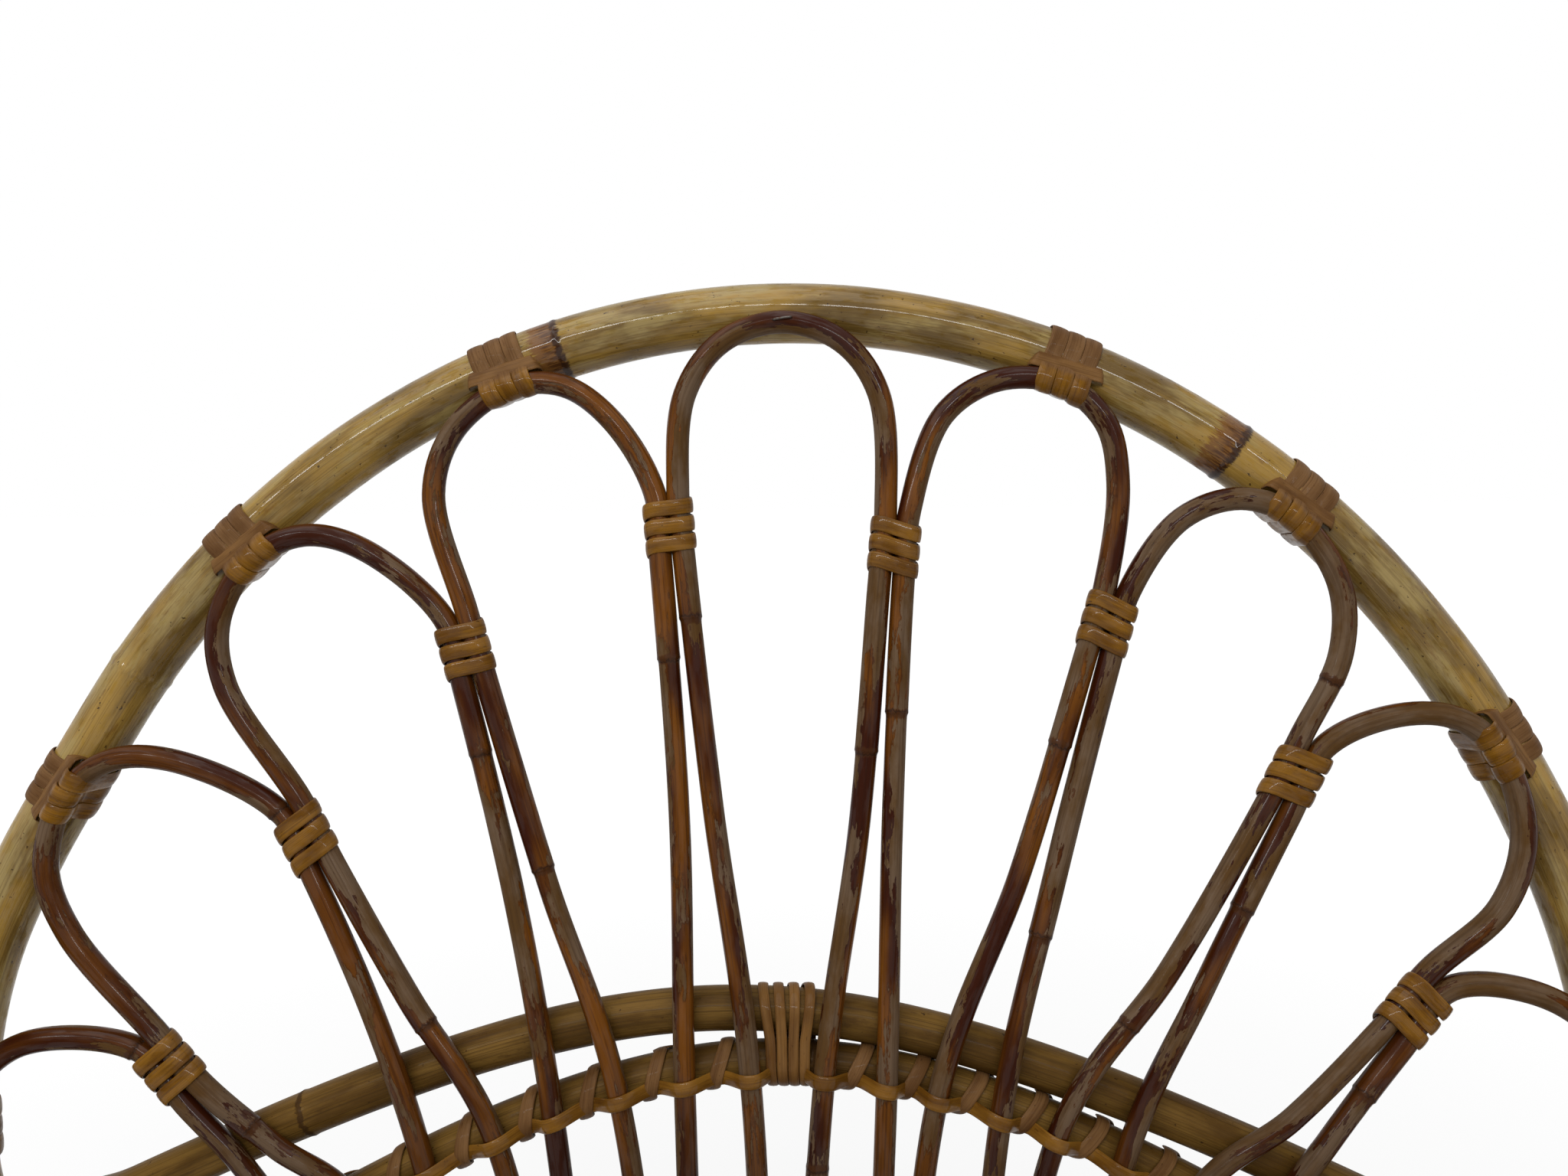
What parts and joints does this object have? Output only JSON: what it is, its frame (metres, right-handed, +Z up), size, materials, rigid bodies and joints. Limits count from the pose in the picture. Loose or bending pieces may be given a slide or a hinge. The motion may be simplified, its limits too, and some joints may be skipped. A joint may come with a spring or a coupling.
{
  "type": "peacock chair",
  "caption": "Bare rattan armchair whose round, reclined back is a hoop filled with a fan of looped canes tied with peel, on splayed legs with arched aprons.",
  "frame": {"origin": "on the floor, under the middle of the chair's box", "axes": "+Z up, the chair faces -Y, +X to the right of someone who looks at its front"},
  "size_m": [0.9081, 0.7115, 0.9891],
  "materials": {
    "pole": "glossy lacquer",
    "cane": "glossy lacquer",
    "arch": "satin lacquer",
    "peel": "satin lacquer"
  },
  "bodies": {
    "root": {"back_hoop": "pole", "lumbar_arch": "arch", "brace_arch": "arch", "petal_l4": "cane", "petal_l3": "cane", "petal_l2": "cane", "petal_l1": "cane", "petal_c": "cane", "petal_r1": "cane", "petal_r2": "cane", "petal_r3": "cane", "petal_r4": "cane", "pair_tie_l4_l3": "peel", "pair_tie_l3_l2": "peel", "pair_tie_l2_l1": "peel", "pair_tie_l1_c": "peel", "pair_tie_c_r1": "peel", "pair_tie_r1_r2": "peel", "pair_tie_r2_r3": "peel", "pair_tie_r3_r4": "peel", "tip_tie_l4": "peel", "tip_tie_l3": "peel", "tip_tie_l2": "peel", "tip_tie_l1": "peel", "tip_tie_r1": "peel", "tip_tie_r2": "peel", "tip_tie_r3": "peel", "tip_tie_r4": "peel", "arch_tie": "peel", "lumbar_lacing_left": "peel", "lumbar_lacing_right": "peel", "rear_rail": "pole", "seat_frame": "pole", "cross_rail_rear": "pole", "cross_rail_front": "pole", "seat_loop_1": "cane", "seat_loop_2": "cane", "seat_loop_3": "cane", "seat_loop_4": "cane", "seat_loop_5": "cane", "seat_loop_6": "cane", "seat_loop_7": "cane", "seat_loop_8": "cane", "seat_loop_9": "cane", "arm_left": "pole", "arm_right": "pole", "apron_front": "arch", "apron_rear": "arch", "apron_left": "arch", "apron_right": "arch", "leg_tie_front_left": "peel", "leg_tie_front_right": "peel", "leg_tie_rear_left": "peel", "leg_tie_rear_right": "peel"}
  },
  "joints": []
}
